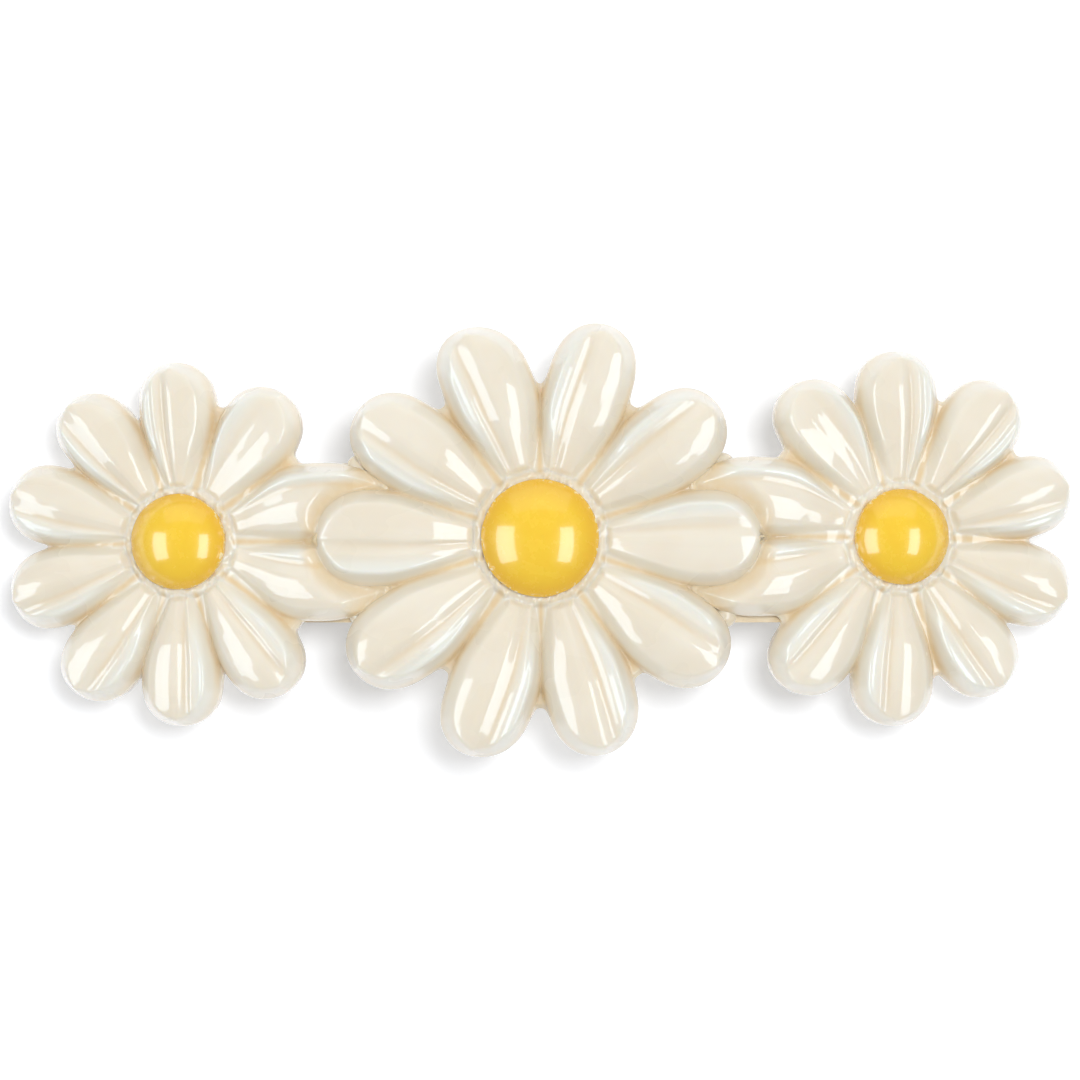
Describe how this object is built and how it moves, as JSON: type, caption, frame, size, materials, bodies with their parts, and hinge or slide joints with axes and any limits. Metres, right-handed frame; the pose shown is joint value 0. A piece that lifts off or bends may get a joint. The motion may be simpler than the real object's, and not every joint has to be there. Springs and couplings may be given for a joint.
{
  "type": "flower hair clip",
  "caption": "Barrette with a row of overlapping moulded daisies over a spring clasp that closes on a lock of hair.",
  "frame": {"origin": "on the surface the closed barrette stands on, under the middle of its length and width", "axes": "+X along the barrette from the hinge end to the catch end, +Y across it, +Z from the hair side towards the flowers"},
  "size_m": [0.0862, 0.0346, 0.0179],
  "materials": {
    "pearl_resin": "pearlescent ivory, high gloss",
    "yellow_enamel": "glossy yellow",
    "cream_resin": "glossy cream, slightly darker than the daisies",
    "adhesive": "cloudy, semi-gloss",
    "nickel_steel": "nickel plated, satin",
    "spring_steel": "nickel plated, brighter than the plate",
    "rivet_steel": "bright peened heads"
  },
  "bodies": {
    "barrette": {"left_daisy": "pearl_resin", "centre_daisy": "pearl_resin", "right_daisy": "pearl_resin", "left_dome": "yellow_enamel", "centre_dome": "yellow_enamel", "right_dome": "yellow_enamel", "backing_bar": "cream_resin", "adhesive_bed": "adhesive", "back_plate": "nickel_steel", "hinge_pin": "rivet_steel", "catch_base": "spring_steel", "catch_rivet": "rivet_steel"},
    "arm": {"clasp_arm": "nickel_steel"},
    "bar": {"tension_bar": "spring_steel"},
    "front_leg": {"front_catch_leg": "spring_steel"},
    "rear_leg": {"rear_catch_leg": "spring_steel"}
  },
  "joints": [
    {"name": "arm_hinge", "type": "hinge", "parent": "barrette", "child": "arm", "pos_m": [-0.0315, 0, 0.0022], "axis": [0, 1, 0], "range_deg": [0, 85]},
    {"name": "bar_flex", "type": "hinge", "parent": "barrette", "child": "bar", "pos_m": [-0.0315, 0, 0.0022], "axis": [0, 1, 0], "range_deg": [-1.3, 0], "stiffness_Nm_per_rad": 0.1, "springref_deg": 2.86},
    {"name": "front_leg_squeeze", "type": "hinge", "parent": "barrette", "child": "front_leg", "pos_m": [0.031, -0.0019, 0.0063], "axis": [0.9781, 0, -0.2079], "range_deg": [0, 6], "stiffness_Nm_per_rad": 0.05},
    {"name": "rear_leg_squeeze", "type": "hinge", "parent": "barrette", "child": "rear_leg", "pos_m": [0.031, 0.0019, 0.0063], "axis": [-0.9781, 0, 0.2079], "range_deg": [0, 6], "stiffness_Nm_per_rad": 0.05}
  ]
}
